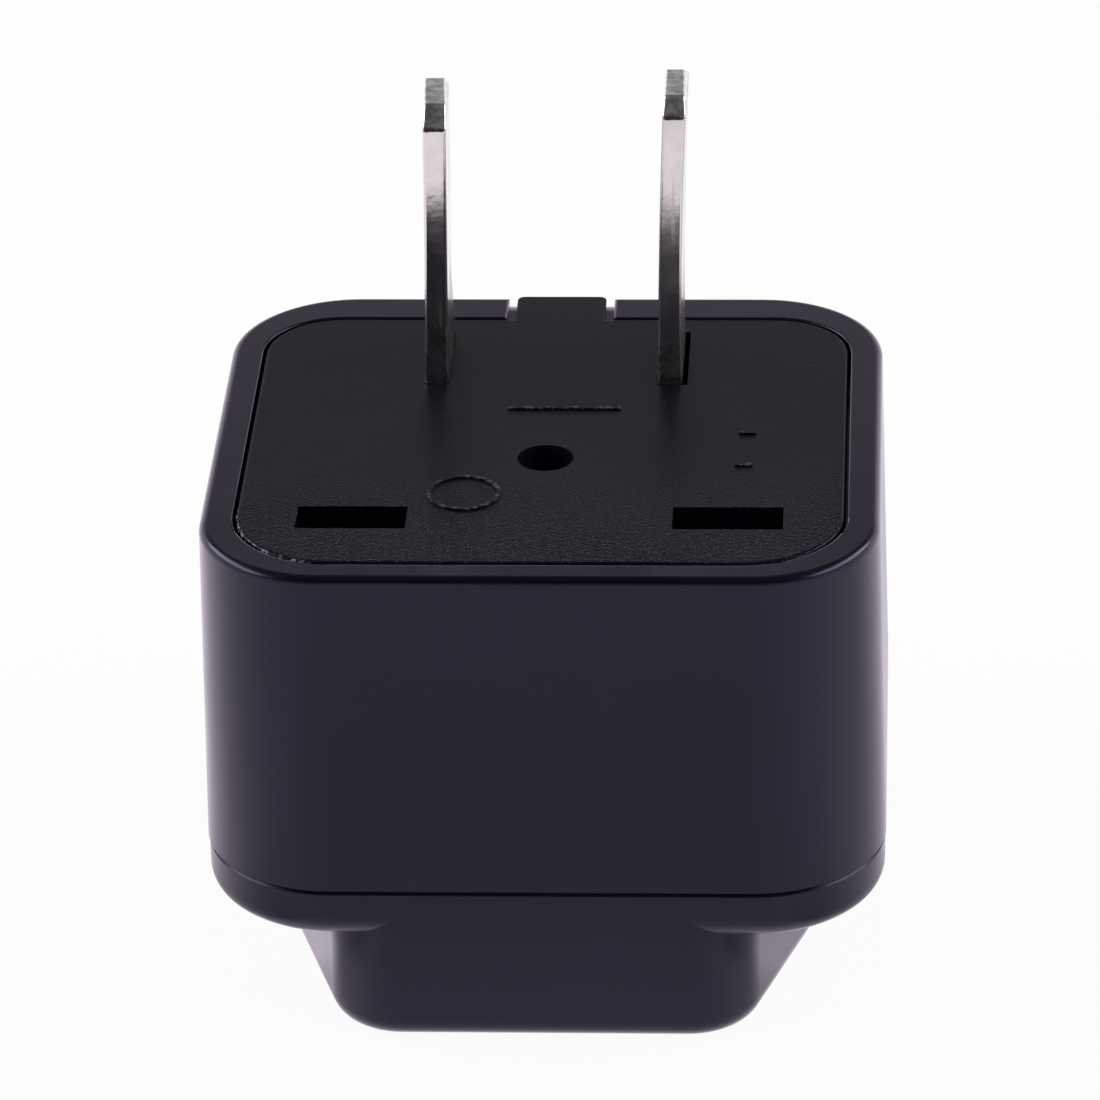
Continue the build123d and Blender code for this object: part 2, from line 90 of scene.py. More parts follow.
class NodeSheet:
    """A node tree with short calls to add, set and join its nodes."""

    # Places of the colour sockets among all sockets of a Mix node
    MIX_INPUTS = (0, 6, 7)
    MIX_OUTPUT = 2

    def __init__(self, tree: bpy.types.NodeTree) -> None:
        """Keep the tree and clear what Blender put in it."""
        self.tree = tree
        tree.nodes.clear()

    def add(self, kind: str, inputs: dict[str, Value] | None = None, **settings: object) -> bpy.types.Node:
        """Add a node, set its properties and feed its inputs.

        Args:
            kind: Blender's type name of the node.
            inputs: Sockets or constants for the node's inputs, by name.
            settings: Properties of the node.

        Returns:
            The new node.
        """
        node = self.tree.nodes.new(kind)
        for name, value in settings.items():
            setattr(node, name, value)
        for name, value in (inputs or {}).items():
            self.feed(node.inputs[name], value)
        return node

    def feed(self, target: bpy.types.NodeSocket, value: Value) -> None:
        """Link a socket to an input, or set the input to a constant.

        Args:
            target: Input socket.
            value: Output socket, number or tuple.
        """
        if isinstance(value, bpy.types.NodeSocket):
            self.tree.links.new(value, target)
        elif isinstance(value, tuple) and len(value) == 3 and target.type == "RGBA":
            target.default_value = (*value, 1.0)
        else:
            target.default_value = value

    def math(self, operation: str, first: Value, second: Value = 0.0) -> bpy.types.NodeSocket:
        """Combine two values.

        Args:
            operation: Name of the Math node's operation.
            first: First value.
            second: Second value.

        Returns:
            The result.
        """
        node = self.tree.nodes.new("ShaderNodeMath")
        node.operation = operation
        self.feed(node.inputs[0], first)
        self.feed(node.inputs[1], second)
        return node.outputs[0]

    def fit(
        self, value: Value, low: float, high: float, to_low: float = 0.0, to_high: float = 1.0
    ) -> bpy.types.NodeSocket:
        """Map a range of values to another one, and clamp it there.

        Args:
            value: Value to map.
            low: Start of the range.
            high: End of the range.
            to_low: Result at the start.
            to_high: Result at the end.

        Returns:
            The mapped value.
        """
        limits = {"Value": value, "From Min": low, "From Max": high, "To Min": to_low, "To Max": to_high}
        return self.add("ShaderNodeMapRange", limits, clamp=True).outputs["Result"]

    def band(self, value: Value, start: float, full: float, fade: float, end: float) -> bpy.types.NodeSocket:
        """Rise from 0 to 1 between two values, and fall back between two higher ones.

        Args:
            value: Value to map.
            start: Start of the rise.
            full: End of the rise.
            fade: Start of the fall.
            end: End of the fall.

        Returns:
            The mapped value.
        """
        return self.math("MULTIPLY", self.fit(value, start, full), self.fit(value, fade, end, 1.0, 0.0))

    def blend(self, factor: Value, first: Value, second: Value) -> bpy.types.NodeSocket:
        """Mix two colours.

        Args:
            factor: Share of the second colour.
            first: First colour.
            second: Second colour.

        Returns:
            The mixed colour.
        """
        node = self.tree.nodes.new("ShaderNodeMix")
        node.data_type = "RGBA"
        for place, value in zip(self.MIX_INPUTS, (factor, first, second)):
            self.feed(node.inputs[place], value)
        return node.outputs[self.MIX_OUTPUT]

    def mix_shaders(
        self, factor: Value, first: bpy.types.NodeSocket, second: bpy.types.NodeSocket
    ) -> bpy.types.NodeSocket:
        """Mix two shaders.

        Args:
            factor: Share of the second shader.
            first: First shader.
            second: Second shader.

        Returns:
            The mixed shader.
        """
        node = self.add("ShaderNodeMixShader", {"Fac": factor})
        self.feed(node.inputs[1], first)
        self.feed(node.inputs[2], second)
        return node.outputs["Shader"]

    def noise(
        self, vector: Value, scale: Value, detail: float = 2.0, roughness: float = 0.5
    ) -> bpy.types.NodeSocket:
        """Cloudy pattern.

        Args:
            vector: Coordinates.
            scale: Features per metre.
            detail: Number of finer layers.
            roughness: Weight of the finer layers.

        Returns:
            The pattern's value.
        """
        inputs = {"Vector": vector, "Scale": scale, "Detail": detail, "Roughness": roughness}
        return self.add("ShaderNodeTexNoise", inputs).outputs["Fac"]


@dataclass(frozen=True)
class Blotches:
    """A cloudy pattern, and the range of it that fades from one value to another."""

    scale: float
    detail: float
    roughness: float
    low: float
    high: float

    def draw(
        self, sheet: NodeSheet, where: Value, to_low: float = 0.0, to_high: float = 1.0
    ) -> bpy.types.NodeSocket:
        """Draw the pattern.

        Args:
            sheet: Node sheet to draw in.
            where: Coordinates.
            to_low: Value at the low end of the range.
            to_high: Value at the high end.

        Returns:
            The pattern's value.
        """
        pattern = sheet.noise(where, self.scale, self.detail, self.roughness)
        return sheet.fit(pattern, self.low, self.high, to_low, to_high)


class SurfaceEffect:
    """A shader node group that several finishes share."""

    title = ""
    sockets: dict[str, tuple[Socket, float]] = {}
    results: tuple[str, ...] = ()

    def __init__(self) -> None:
        """Make the group with its named sockets."""
        self.tree = bpy.data.node_groups.new(self.title, "ShaderNodeTree")
        sheet = NodeSheet(self.tree)
        self.tree.interface.new_socket("Vector", in_out="INPUT", socket_type=Socket.VECTOR.value)
        for name, (kind, default) in self.sockets.items():
            made = self.tree.interface.new_socket(name, in_out="INPUT", socket_type=kind.value)
            made.default_value = default
        for name in self.results:
            self.tree.interface.new_socket(name, in_out="OUTPUT", socket_type=Socket.VALUE.value)
        given = sheet.add("NodeGroupInput")
        wanted = sheet.add("NodeGroupOutput")
        for name, value in self.draw(sheet, given).items():
            sheet.feed(wanted.inputs[name], value)

    def draw(self, sheet: NodeSheet, given: bpy.types.Node) -> dict[str, Value]:
        """Draw the effect.

        Args:
            sheet: Node sheet of the group.
            given: The group's input node.

        Returns:
            The value of each result, by name.
        """
        raise NotImplementedError

    def place(self, sheet: NodeSheet, vector: Value, **values: float) -> bpy.types.Node:
        """Place the group in a material.

        Args:
            sheet: Node sheet of the material.
            vector: Coordinates for the effect.
            values: Inputs of the group, with _ for a space.

        Returns:
            The group node.
        """
        node = sheet.add("ShaderNodeGroup", node_tree=self.tree)
        sheet.feed(node.inputs["Vector"], vector)
        for name, value in values.items():
            sheet.feed(node.inputs[name.replace("_", " ").title()], value)
        return node


class MouldGrain(SurfaceEffect):
    """Fine eroded grain of a mould, and slow clouds of gloss over it."""

    title = "mould_grain"
    sockets = {"Grain": (Socket.VALUE, 8000.0), "Cloud": (Socket.VALUE, 200.0)}
    results = ("Height", "Cloud")

    PIT_SCALE = 0.55
    PIT_DEPTH = 0.3
    CLOUD_DETAIL = 3.0
    CLOUD_ROUGHNESS = 0.55
    CLOUD_RANGE = (0.3, 0.7)

    def draw(self, sheet: NodeSheet, given: bpy.types.Node) -> dict[str, Value]:
        """Draw pits between rounded grains, and clouds.

        Args:
            sheet: Node sheet of the group.
            given: The group's input node.

        Returns:
            Height of the grain, and share of the clouds.
        """
        vector = given.outputs["Vector"]
        fine = sheet.noise(vector, given.outputs["Grain"], detail=0.0)
        spacing = sheet.math("MULTIPLY", given.outputs["Grain"], self.PIT_SCALE)
        cells = sheet.add("ShaderNodeTexVoronoi", {"Vector": vector, "Scale": spacing}, feature="F1")
        pits = sheet.math("MULTIPLY", cells.outputs["Distance"], self.PIT_DEPTH)
        cloud = sheet.noise(vector, given.outputs["Cloud"], self.CLOUD_DETAIL, self.CLOUD_ROUGHNESS)
        height = sheet.math("SUBTRACT", fine, pits)
        return {"Height": height, "Cloud": sheet.fit(cloud, *self.CLOUD_RANGE)}


class FineScratches(SurfaceEffect):
    """Hair-thin marks from handling, in two directions and in patches."""

    title = "fine_scratches"
    sockets = {"Density": (Socket.VALUE, 900.0), "Amount": (Socket.VALUE, 0.5)}
    results = ("Marks",)

    STRETCH = 0.03
    TURNS = ((0.2, 0.1, 0.4), (1.3, 0.9, -0.6))
    LINE_DETAIL = 1.0
    LINE_ROUGHNESS = 0.4
    LINE_RANGE = (0.66, 0.74)
    PATCHES = Blotches(scale=260.0, detail=2.0, roughness=0.5, low=0.45, high=0.65)

    def draw(self, sheet: NodeSheet, given: bpy.types.Node) -> dict[str, Value]:
        """Draw stretched noise, cut to thin lines and kept in patches.

        Args:
            sheet: Node sheet of the group.
            given: The group's input node.

        Returns:
            Strength of the marks.
        """
        vector = given.outputs["Vector"]
        density = given.outputs["Density"]
        stretch = (1.0, 1.0, self.STRETCH)
        lines: Value = 0.0
        for turn in self.TURNS:
            turned = {"Vector": vector, "Rotation": turn, "Scale": stretch}
            along = sheet.add("ShaderNodeMapping", turned).outputs["Vector"]
            pattern = sheet.noise(along, density, self.LINE_DETAIL, self.LINE_ROUGHNESS)
            lines = sheet.math("MAXIMUM", lines, sheet.fit(pattern, *self.LINE_RANGE))
        marks = sheet.math("MULTIPLY", lines, self.PATCHES.draw(sheet, vector))
        return {"Marks": sheet.math("MULTIPLY", marks, given.outputs["Amount"])}


class DustSpecksAndGlints(SurfaceEffect):
    """Single small dots: specks such as dust or moulding crumbs, and the plate's painted glints."""

    title = "dust_specks_and_glints"
    sockets = {"Spacing": (Socket.VALUE, 500.0), "Share": (Socket.VALUE, 0.1), "Width": (Socket.VALUE, 0.1)}
    results = ("Specks",)

    def draw(self, sheet: NodeSheet, given: bpy.types.Node) -> dict[str, Value]:
        """Draw a dot in a share of the cells.

        Args:
            sheet: Node sheet of the group.
            given: The group's input node.

        Returns:
            Where the dots are.
        """
        inputs = {"Vector": given.outputs["Vector"], "Scale": given.outputs["Spacing"]}
        cells = sheet.add("ShaderNodeTexVoronoi", inputs)
        pick = sheet.add("ShaderNodeSeparateColor", {"Color": cells.outputs["Color"]}).outputs[0]
        chosen = sheet.math("LESS_THAN", pick, given.outputs["Share"])
        near = sheet.math("LESS_THAN", cells.outputs["Distance"], given.outputs["Width"])
        return {"Specks": sheet.math("MULTIPLY", chosen, near)}


@dataclass(frozen=True)
class Effects:
    """The effects that the finishes share."""

    grain: MouldGrain
    scratches: FineScratches
    specks: DustSpecksAndGlints


def start_material(name: str) -> tuple[bpy.types.Material, NodeSheet, bpy.types.Node, bpy.types.NodeSocket]:
    """Start a material with a Principled shader.

    Args:
        name: Name of the material.

    Returns:
        The material, its node sheet, the shader and the Object coordinates.
    """
    material = bpy.data.materials.new(name)
    material.use_nodes = True
    sheet = NodeSheet(material.node_tree)
    shader = sheet.add("ShaderNodeBsdfPrincipled")
    sheet.add("ShaderNodeOutputMaterial", {"Surface": shader.outputs["BSDF"]})
    return material, sheet, shader, sheet.add("ShaderNodeTexCoord").outputs["Object"]


@dataclass(frozen=True)
class MouldedPlastic:
    """Black moulded plastic, polished or with an eroded grain."""

    name: str
    deep: Colour
    pale: Colour
    gloss: tuple[float, float]
    coat_gloss: float
    grain: float
    relief: float
    specular: float
    tint: Colour
    coat: float
    scratches: float
    speck_share: float
    # Whether the joint between the mouldings gets painted shade.
    seam: bool = False
    worn: float = 1.0

    CLOUD = 170.0
    SCRATCH_DENSITY = 2600.0
    SCRATCH_ROUGH = 0.2
    SCRATCH_DEPTH = 0.5
    SPECK_SPACING = 420.0
    SPECK_WIDTH = 0.05
    SPECK_COLOUR = (0.10, 0.09, 0.10)
    COAT_IOR = 1.2
    COAT_TINT = (0.95, 0.83, 1.0)
    # Painted shade along the joint: half-width, wander, core and strength of the dark band.
    SEAM_HALF = (0.15 * MM, 0.30 * MM)
    SEAM_WANDER = Blotches(scale=160.0, detail=2.0, roughness=0.6, low=0.42, high=0.62)
    SEAM_CORE = 0.4
    SEAM_SHADE_STRENGTH = 0.4
    SEAM_SHADE_COLOUR = (0.030, 0.026, 0.028)
    # Front-to-back run over which the grain's relief and roughness change and the painted glints fade.
    WEAR_AND_GLINT_RUN = (-13.0 * MM, -2.0 * MM)
    WORN_ROUGH = 0.12
    # Painted glints: light dots put into the colour of single grains near the front.
    PAINTED_GLINTS = {"spacing": 5000.0, "share": 0.55, "width": 0.34}
    PAINTED_GLINTS_BEHIND = 0.10
    PAINTED_GLINT_COLOUR = (0.027, 0.027, 0.033)
    # Painted highlights: dotted light on the raised marks and on the front left corner's edge.
    PAINTED_SPARKS = {"spacing": 3400.0, "share": 0.75, "width": 0.48}
    PAINTED_SPARKS_RAISED = 0.22
    PAINTED_SPARK_COLOUR = (0.26, 0.26, 0.30)
    GRAINED = (PLATE_TOP - 0.07 * MM, PLATE_TOP - 0.02 * MM)
    RAISED = (PLATE_TOP + 0.02 * MM, PLATE_TOP + 0.05 * MM)
    EDGE_RISE = (PLATE_TOP - 0.20 * MM, PLATE_TOP - 0.15 * MM)
    EDGE_FALL = (PLATE_TOP - 0.05 * MM, PLATE_TOP - 0.01 * MM)
    CORNER_X = (-12.5 * MM, -11.5 * MM)
    CORNER_Y = (-9.5 * MM, -8.5 * MM)

    def make(self, effects: Effects) -> bpy.types.Material:
        """Make the material.

        Args:
            effects: Shared effects.

        Returns:
            The material.
        """
        material, sheet, shader, where = start_material(self.name)
        grain = effects.grain.place(sheet, where, grain=self.grain, cloud=self.CLOUD)
        marks = effects.scratches.place(
            sheet, where, density=self.SCRATCH_DENSITY, amount=self.scratches
        ).outputs["Marks"]
        specks = effects.specks.place(
            sheet, where, spacing=self.SPECK_SPACING, share=self.speck_share, width=self.SPECK_WIDTH
        )
        cloud = grain.outputs["Cloud"]
        colour = sheet.blend(cloud, self.deep, self.pale)
        colour = sheet.blend(specks.outputs["Specks"], colour, self.SPECK_COLOUR)
        # Faces with wear also get painted glints and highlights in their colour.
        if self.worn < 1.0:
            colour = self.add_painted_glints(sheet, effects, where, colour)
        # Painted shade in the joint between housing and cap, black in colour and reflection.
        if self.seam:
            colour = self.paint_seam_shade(sheet, shader, where, colour)
        else:
            shader.inputs["Coat Weight"].default_value = self.coat
        sheet.feed(shader.inputs["Base Color"], colour)
        rough = sheet.fit(cloud, 0.0, 1.0, *self.gloss)
        rough = sheet.math("ADD", rough, sheet.math("MULTIPLY", marks, self.SCRATCH_ROUGH))
        cuts = sheet.math("MULTIPLY", marks, self.SCRATCH_DEPTH)
        height = sheet.math("SUBTRACT", grain.outputs["Height"], cuts)
        if self.worn < 1.0:
            rearward = sheet.add("ShaderNodeSeparateXYZ", {"Vector": where}).outputs["Y"]
            height = sheet.math("MULTIPLY", height, sheet.fit(rearward, *self.WEAR_AND_GLINT_RUN, 1.0, self.worn))
            rough = sheet.math("ADD", rough, sheet.fit(rearward, *self.WEAR_AND_GLINT_RUN, 0.0, self.WORN_ROUGH))
        sheet.feed(shader.inputs["Roughness"], rough)
        bump = sheet.add("ShaderNodeBump", {"Height": height, "Strength": 1.0, "Distance": self.relief})
        sheet.feed(shader.inputs["Normal"], bump.outputs["Normal"])
        shader.inputs["Specular IOR Level"].default_value = self.specular
        shader.inputs["Specular Tint"].default_value = (*self.tint, 1.0)
        shader.inputs["Coat Roughness"].default_value = self.coat_gloss
        shader.inputs["Coat IOR"].default_value = self.COAT_IOR
        shader.inputs["Coat Tint"].default_value = (*self.COAT_TINT, 1.0)
        sheet.feed(shader.inputs["Coat Normal"], bump.outputs["Normal"])
        return material

    def add_painted_glints(
        self, sheet: NodeSheet, effects: Effects, where: bpy.types.NodeSocket, colour: Value
    ) -> bpy.types.NodeSocket:
        """Paint glints into the colour near the front, on raised marks and at the front left corner.

        Args:
            sheet: Node sheet of the material.
            effects: Shared effects.
            where: Object coordinates.
            colour: Colour of the plastic.

        Returns:
            The colour with the painted glints and highlights.
        """
        axes = sheet.add("ShaderNodeSeparateXYZ", {"Vector": where}).outputs
        forward = sheet.fit(axes["Y"], *self.WEAR_AND_GLINT_RUN, 1.0, self.PAINTED_GLINTS_BEHIND)
        near = sheet.math("MULTIPLY", forward, sheet.fit(axes["Z"], *self.GRAINED))
        # Painted glints on single grains, fading towards the back.
        dots = effects.specks.place(sheet, where, **self.PAINTED_GLINTS).outputs["Specks"]
        colour = sheet.blend(sheet.math("MULTIPLY", dots, near), colour, self.PAINTED_GLINT_COLOUR)
        # Painted highlights along the front left corner's edge and on the raised marks.
        leftmost = sheet.fit(axes["X"], *self.CORNER_X, 1.0, 0.0)
        corner = sheet.math("MULTIPLY", leftmost, sheet.fit(axes["Y"], *self.CORNER_Y, 1.0, 0.0))
        edge = sheet.math("MULTIPLY", corner, sheet.band(axes["Z"], *self.EDGE_RISE, *self.EDGE_FALL))
        raised = sheet.math("MULTIPLY", sheet.fit(axes["Z"], *self.RAISED), self.PAINTED_SPARKS_RAISED)
        sparks = effects.specks.place(sheet, where, **self.PAINTED_SPARKS).outputs["Specks"]
        sparks = sheet.math("MULTIPLY", sparks, sheet.math("MAXIMUM", edge, raised))
        return sheet.blend(sparks, colour, self.PAINTED_SPARK_COLOUR)

    def paint_seam_shade(
        self, sheet: NodeSheet, shader: bpy.types.Node, where: bpy.types.NodeSocket, colour: Value
    ) -> bpy.types.NodeSocket:
        """Paint shade into the joint between the mouldings, unevenly along its run.

        Args:
            sheet: Node sheet of the material.
            shader: The material's shader.
            where: Object coordinates.
            colour: Colour of the plastic.

        Returns:
            The colour with the painted shade of the joint.
        """
        up = sheet.add("ShaderNodeSeparateXYZ", {"Vector": where}).outputs["Z"]
        away = sheet.math("ABSOLUTE", sheet.math("SUBTRACT", up, SEAM_HEIGHT))
        half = self.SEAM_WANDER.draw(sheet, where, *self.SEAM_HALF)
        reach = sheet.math("DIVIDE", away, half)
        joint = sheet.fit(reach, self.SEAM_CORE, 1.0, self.SEAM_SHADE_STRENGTH, 0.0)
        sheet.feed(shader.inputs["Metallic"], joint)
        sheet.feed(shader.inputs["Coat Weight"], sheet.fit(joint, 0.0, 1.0, self.coat, 0.0))
        return sheet.blend(joint, colour, self.SEAM_SHADE_COLOUR)


@dataclass(frozen=True)
class WornMetal:
    """Plated or bare sheet metal with handling marks, darker up to a height; on the blades that is painted
    shade.
    """

    name: str
    bright: Colour
    dull: Colour
    gloss: tuple[float, float]
    scratches: float
    dark_below_colour: Colour
    dark_full_below: float
    dark_gone_above: float
    coined: tuple[float, float] | None = None

    GRAIN = 5200.0
    GRAIN_HEIGHT = 0.3
    CLOUD = 420.0
    SCRATCH_DENSITY = 3400.0
    SCRATCH_ROUGH = 0.25
    # Blotches that break up the darker band below a height.
    DARK_BELOW_BLOTCHES = Blotches(scale=1100.0, detail=3.0, roughness=0.6, low=0.26, high=0.58)
    DARK_BELOW_SHARE = 0.9
    DARK_BELOW_ROUGH = 0.15
    DENT_SCALE = 1800.0
    DENT_HEIGHT = 4.0
    RELIEF = 0.0012 * MM
    SIDES = (-MM, MM)
    SIDE_ROUGH = (-0.02, 0.012)
    TIP_FADE = 0.1 * MM
    TIP_BLOTS = Blotches(scale=1500.0, detail=3.0, roughness=0.6, low=0.36, high=0.62)
    TIP_PALE = (0.95, 0.90, 0.91)
    TIP_SMUDGE = (0.48, 0.46, 0.46)
    # Painted shade along the tip's lower edge, where the burr is.
    BURR_SHADE_COLOUR = (0.10, 0.075, 0.065)
    BURR_HALF = (0.02 * MM, 0.15 * MM)
    BURR_WANDER = Blotches(scale=1300.0, detail=2.0, roughness=0.5, low=0.42, high=0.62)
    BURR_CORE = 0.5
    BURR_SHADE_STRENGTH = 0.8

    def make(self, effects: Effects) -> bpy.types.Material:
        """Make the material.

        Args:
            effects: Shared effects.

        Returns:
            The material.
        """
        material, sheet, shader, where = start_material(self.name)
        grain = effects.grain.place(sheet, where, grain=self.GRAIN, cloud=self.CLOUD)
        marks = effects.scratches.place(
            sheet, where, density=self.SCRATCH_DENSITY, amount=self.scratches
        ).outputs["Marks"]
        cloud = grain.outputs["Cloud"]
        axes = sheet.add("ShaderNodeSeparateXYZ", {"Vector": where}).outputs
        # Darker in blotches towards the bottom; on the blades this is painted shade near the plate.
        low = sheet.fit(axes["Z"], self.dark_full_below, self.dark_gone_above, 1.0, 0.0)
        dark_below = sheet.math("MULTIPLY", low, self.DARK_BELOW_BLOTCHES.draw(sheet, where))
        colour = sheet.blend(cloud, self.bright, self.dull)
        colour = sheet.blend(sheet.math("MULTIPLY", dark_below, self.DARK_BELOW_SHARE), colour, self.dark_below_colour)
        if self.coined:
            colour = self.mark_tip(sheet, where, colour)
        sheet.feed(shader.inputs["Base Color"], colour)
        rough = sheet.fit(cloud, 0.0, 1.0, *self.gloss)
        rough = sheet.math("ADD", rough, sheet.math("MULTIPLY", marks, self.SCRATCH_ROUGH))
        if self.coined:
            rough = sheet.math("ADD", rough, sheet.fit(axes["X"], *self.SIDES, *self.SIDE_ROUGH))
        rough = sheet.math("ADD", rough, sheet.math("MULTIPLY", dark_below, self.DARK_BELOW_ROUGH))
        sheet.feed(shader.inputs["Roughness"], rough)
        fine = sheet.math("MULTIPLY", grain.outputs["Height"], self.GRAIN_HEIGHT)
        height = sheet.math("SUBTRACT", fine, marks)
        dents = sheet.math("MULTIPLY", sheet.noise(where, self.DENT_SCALE), self.DENT_HEIGHT)
        height = sheet.math("ADD", height, dents)
        bump = sheet.add("ShaderNodeBump", {"Height": height, "Strength": 1.0, "Distance": self.RELIEF})
        sheet.feed(shader.inputs["Normal"], bump.outputs["Normal"])
        shader.inputs["Metallic"].default_value = 1.0
        return material

    def mark_tip(self, sheet: NodeSheet, where: bpy.types.NodeSocket, colour: Value) -> bpy.types.NodeSocket:
        """Smudge the coined tip, and paint shade along its lower edge, where the press left a burr.

        Args:
            sheet: Node sheet of the material.
            where: Object coordinates.
            colour: Colour of the metal.

        Returns:
            The marked colour.
        """
        axes = sheet.add("ShaderNodeSeparateXYZ", {"Vector": where}).outputs
        above = sheet.math("SUBTRACT", axes["Z"], sheet.fit(axes["X"], *self.SIDES, *self.coined))
        smudged = sheet.blend(self.TIP_BLOTS.draw(sheet, where), self.TIP_PALE, self.TIP_SMUDGE)
        colour = sheet.blend(sheet.fit(above, 0.0, self.TIP_FADE), colour, smudged)
        # Painted shade: a dark band of wandering width along the tip's lower edge.
        half = self.BURR_WANDER.draw(sheet, where, *self.BURR_HALF)
        reach = sheet.math("DIVIDE", sheet.math("ABSOLUTE", above), half)
        burr = sheet.fit(reach, self.BURR_CORE, 1.0, self.BURR_SHADE_STRENGTH, 0.0)
        return sheet.blend(burr, colour, self.BURR_SHADE_COLOUR)


SHELL = MouldedPlastic(
    name=Slot.SHELL.value,
    deep=(0.0010, 0.0011, 0.0050),
    pale=(0.0018, 0.0019, 0.0065),
    gloss=(0.22, 0.28),
    coat_gloss=0.2,
    grain=5200.0,
    relief=0.0006 * MM,
    specular=0.5,
    tint=(0.40, 0.46, 0.66),
    coat=1.0,
    scratches=0.25,
    speck_share=0.010,
    seam=True,
)
FACE = MouldedPlastic(
    name=Slot.FACE.value,
    deep=(0.0026, 0.0026, 0.0072),
    pale=(0.0044, 0.0042, 0.0096),
    gloss=(0.22, 0.30),
    coat_gloss=0.3,
    grain=7500.0,
    relief=0.018 * MM,
    specular=0.17,
    tint=(0.44, 0.48, 0.84),
    coat=0.0,
    scratches=0.12,
    speck_share=0.016,
    worn=0.35,
)
PLATING = WornMetal(
    name=Slot.BLADE.value,
    bright=(0.76, 0.69, 0.72),
    dull=(0.68, 0.62, 0.64),
    gloss=(0.12, 0.20),
    scratches=0.35,
    dark_below_colour=(0.10, 0.09, 0.085),
    # Painted shade near the plate: the blades darken below these heights.
    dark_full_below=31.0 * MM,
    dark_gone_above=33.8 * MM,
    coined=(42.93 * MM, 43.53 * MM),
)
BRASS = WornMetal(
    name=Slot.BRASS.value,
    bright=(0.76, 0.57, 0.27),
    dull=(0.66, 0.48, 0.21),
    gloss=(0.24, 0.36),
    scratches=0.6,
    dark_below_colour=(0.26, 0.15, 0.06),
    dark_full_below=9.0 * MM,
    dark_gone_above=14.0 * MM,
)
STEEL = WornMetal(
    name=Slot.SCREW.value,
    bright=(0.56, 0.56, 0.58),
    dull=(0.45, 0.45, 0.47),
    gloss=(0.26, 0.38),
    scratches=0.8,
    dark_below_colour=(0.20, 0.19, 0.18),
    dark_full_below=4.2 * MM,
    dark_gone_above=5.4 * MM,
)


def dress(node: str, material: bpy.types.Material) -> None:
    """Give a CAD node its finish.

    Args:
        node: Name of the node.
        material: Finish.
    """
    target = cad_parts[node]
    target.data.materials.clear()
    target.data.materials.append(material)
    LOG.info("%s dressed in %s", node, material.name)


def deselect_all() -> None:
    """Deselect all objects, so that the next operator acts on its own piece alone."""
    bpy.ops.object.select_all(action="DESELECT")


def pick(piece: bpy.types.Object, kind: Pick, keep: Callable[[list[Vector]], bool]) -> None:
    """Select mesh elements by the places of their corners, and stay in edit mode.

    Args:
        piece: Active mesh object.
        kind: Kind of element.
        keep: Test on the corners' places.
    """
    bpy.ops.object.mode_set(mode="OBJECT")
    bpy.context.tool_settings.mesh_select_mode = tuple(kind is other for other in Pick)
    mesh = piece.data
    places = [corner.co for corner in mesh.vertices]
    groups = {
        Pick.VERTEX: (mesh.vertices, [[place] for place in places]),
        Pick.EDGE: (mesh.edges, [[places[i] for i in edge.vertices] for edge in mesh.edges]),
        Pick.FACE: (mesh.polygons, [[places[i] for i in face.vertices] for face in mesh.polygons]),
    }
    for other, (elements, corners) in groups.items():
        elements.foreach_set("select", [kind is other and keep(c) for c in corners])
    bpy.ops.object.mode_set(mode="EDIT")


def settle(piece: bpy.types.Object, name: str, material: bpy.types.Material) -> None:
    """Name a new piece, give it its finish and let it ride on the body.

    Args:
        piece: Finished mesh object.
        name: Name of the piece.
        material: Finish.
    """
    piece.name = name
    piece.data.name = name
    piece.data.materials.append(material)
    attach(piece, BODY)
    LOG.info("%s built", name)


@dataclass
class Shell:
    """The two outer mouldings: housing and socket cap."""

    nodes: tuple[str, ...] = ("housing", "socket_cap")

    def build(self, effects: Effects) -> None:
        """Dress both mouldings in the polished black plastic.

        Args:
            effects: Shared effects.
        """
        material = SHELL.make(effects)
        for node in self.nodes:
            dress(node, material)


